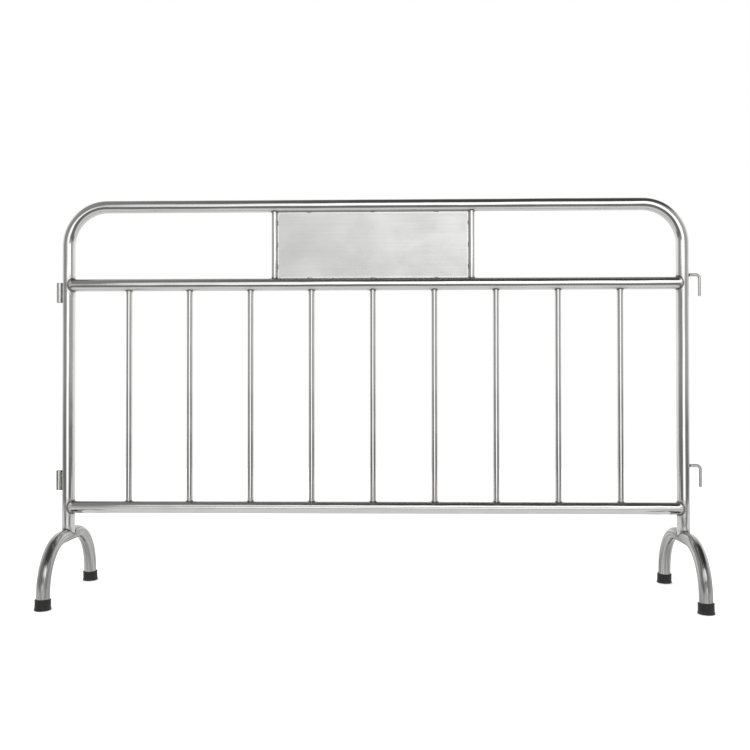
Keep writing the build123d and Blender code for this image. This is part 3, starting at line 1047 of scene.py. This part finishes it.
BACKDROP_LEVEL = 1.08      # what mirrors see of the surroundings
FRONT_LEFT_LEVEL = 0.36
FRONT_MIDDLE_LEVEL = 0.27
FRONT_RIGHT_LEVEL = 0.50
CEILING_LEFT_LEVEL = 0.34
CEILING_RIGHT_LEVEL = 0.075
GROUND_FRONT_LEVEL = 0.20
GROUND_BACK_LEVEL = 0.95
PATCH_LEVEL = 1.65

CAMERA_PLACE = (MIDDLE_X + 0.0769, -2.6591, 0.6382)
CAMERA_TILT = 90.60        # degrees
CAMERA_TURN = 1.52
CAMERA_ROLL = -0.06
CAMERA_SENSOR = 36.0       # millimetres
CAMERA_LENS = 42.113


def glow(name, axis, start, end, radiances, **values):
    """Glowing finish whose radiance goes smoothly from one value to another along an axis."""
    made = Finish(name, Base_Color=(0, 0, 0, 1), Emission_Color=(1, 1, 1, 1), **values)
    place = made.add("SeparateXYZ", {0: made.add("TexCoord").outputs["Object"]}).outputs[axis]
    return made.wear(Emission_Strength=made.spread(place, start, end, *radiances))


def panel(name, corners, finish, hidden_from):
    """One flat face of the surroundings, hidden from some kinds of ray."""
    mesh = bpy.data.meshes.new(name)
    mesh.from_pydata(corners, [], [(0, 1, 2, 3)])
    made = bpy.data.objects.new(name, mesh)
    bpy.context.scene.collection.objects.link(made)
    made.data.materials.append(finish)
    for ray in hidden_from:
        setattr(made, f"visible_{ray}", False)


def level_corners(side, front, back, z):
    return [(-side, -front, z), (side, -front, z), (side, back, z), (-side, back, z)]


def floor():
    corners = level_corners(FLOOR_SIDE, FLOOR_FRONT, FLOOR_BACK, 0)
    panel("floor", corners, pale_floor("pale_floor"), ("glossy",))


def floor_bounce():
    """The white floor as mirrors see it: bright round the barrier, fading away in front."""
    finish = glow("floor_bounce", 1, -BOUNCE_END, -BOUNCE_START, BOUNCE_RADIANCE, Specular_IOR_Level=0.0)
    corners = level_corners(BOUNCE_SIDE, BOUNCE_END, FLOOR_BACK, BOUNCE_Z)
    panel("floor_bounce", corners, finish, ("camera", "diffuse", "shadow"))


def softbox():
    """Upright glowing panel that faces the barrier, brighter to the right. The camera doesn't see it."""
    left, right = SOFTBOX_X
    low, high = SOFTBOX_Z
    corners = [(x, SOFTBOX_Y, z) for x, z in ((left, low), (left, high), (right, high), (right, low))]
    finish = glow("front_softbox", 0, left, left + (right - left) * 0.75, SOFTBOX_RADIANCE)
    panel("front_softbox", corners, finish, ("camera", "shadow"))


def overhead_light():
    """Lights the floor to white. It is left out of mirrors."""
    data = bpy.data.lights.new("overhead", "AREA")
    data.shape = "SQUARE"
    data.size = OVERHEAD_SIDE
    data.energy = math.pi * OVERHEAD_RADIANCE * data.size ** 2
    lamp = bpy.data.objects.new("overhead", data)
    lamp.location = (0, 0, OVERHEAD_Z)
    lamp.visible_camera = False
    lamp.visible_glossy = False
    bpy.context.scene.collection.objects.link(lamp)


def studio():
    """White surroundings for the camera. Mirrors see other levels, by direction alone.

    Behind is a white backdrop, in front a dim room, with a bright patch at horizon height. The
    ceiling is dark, and the ground goes from dim in front to white behind.
    """
    world = bpy.data.worlds.new("studio")
    bpy.context.scene.world = world
    world.use_nodes = True
    nodes = Nodes(world.node_tree)
    background = world.node_tree.nodes["Background"]
    across, back, up = nodes.add("SeparateXYZ", {0: nodes.add("TexCoord").outputs["Generated"]}).outputs
    front = nodes.mix(nodes.spread(across, -0.70, -0.10), FRONT_LEFT_LEVEL,
                      nodes.spread(across, 0.0, 0.5, FRONT_MIDDLE_LEVEL, FRONT_RIGHT_LEVEL))
    level = nodes.mix(nodes.spread(back, -0.40, 0.45), front, BACKDROP_LEVEL)
    overhead = nodes.math("MULTIPLY", nodes.spread(up, 0.55, 0.74),
                          nodes.spread(back, 0.33, 0.68, 1.0, 0.0))
    ceiling = nodes.spread(across, -0.45, 0.05, CEILING_LEFT_LEVEL, CEILING_RIGHT_LEVEL)
    level = nodes.mix(overhead, level, ceiling)
    ground = nodes.spread(back, -0.15, 0.35, GROUND_FRONT_LEVEL, GROUND_BACK_LEVEL)
    level = nodes.mix(nodes.spread(up, -0.08, 0.02, 1.0, 0.0), level, ground)
    facing = nodes.math("MULTIPLY", nodes.band(across, -0.45, -0.14, 0.20, 0.48),
                        nodes.spread(back, -0.70, -0.50, 1.0, 0.0))
    patch = nodes.math("MULTIPLY", facing, nodes.band(up, -0.18, -0.12, 0.13, 0.19))
    level = nodes.mix(patch, level, PATCH_LEVEL)
    seen = nodes.add("LightPath").outputs["Is Camera Ray"]
    nodes.feed(background.inputs["Strength"], nodes.mix(seen, level, 1.0))
    nodes.feed(background.inputs["Color"], (1, 1, 1, 1))


def camera():
    """Level view from the front, a little to the right of the middle, at bar height."""
    data = bpy.data.cameras.new("camera")
    data.sensor_width = CAMERA_SENSOR
    data.lens = CAMERA_LENS
    made = bpy.data.objects.new("camera", data)
    made.location = CAMERA_PLACE
    aim = Euler((math.radians(CAMERA_TILT), 0, math.radians(CAMERA_TURN))).to_matrix()
    roll = Euler((0, 0, math.radians(CAMERA_ROLL))).to_matrix()
    made.rotation_euler = (aim @ roll).to_euler()
    bpy.context.scene.collection.objects.link(made)
    bpy.context.scene.camera = made


floor()
floor_bounce()
softbox()
overhead_light()
studio()
camera()
bpy.context.scene.view_settings.view_transform = "Standard"
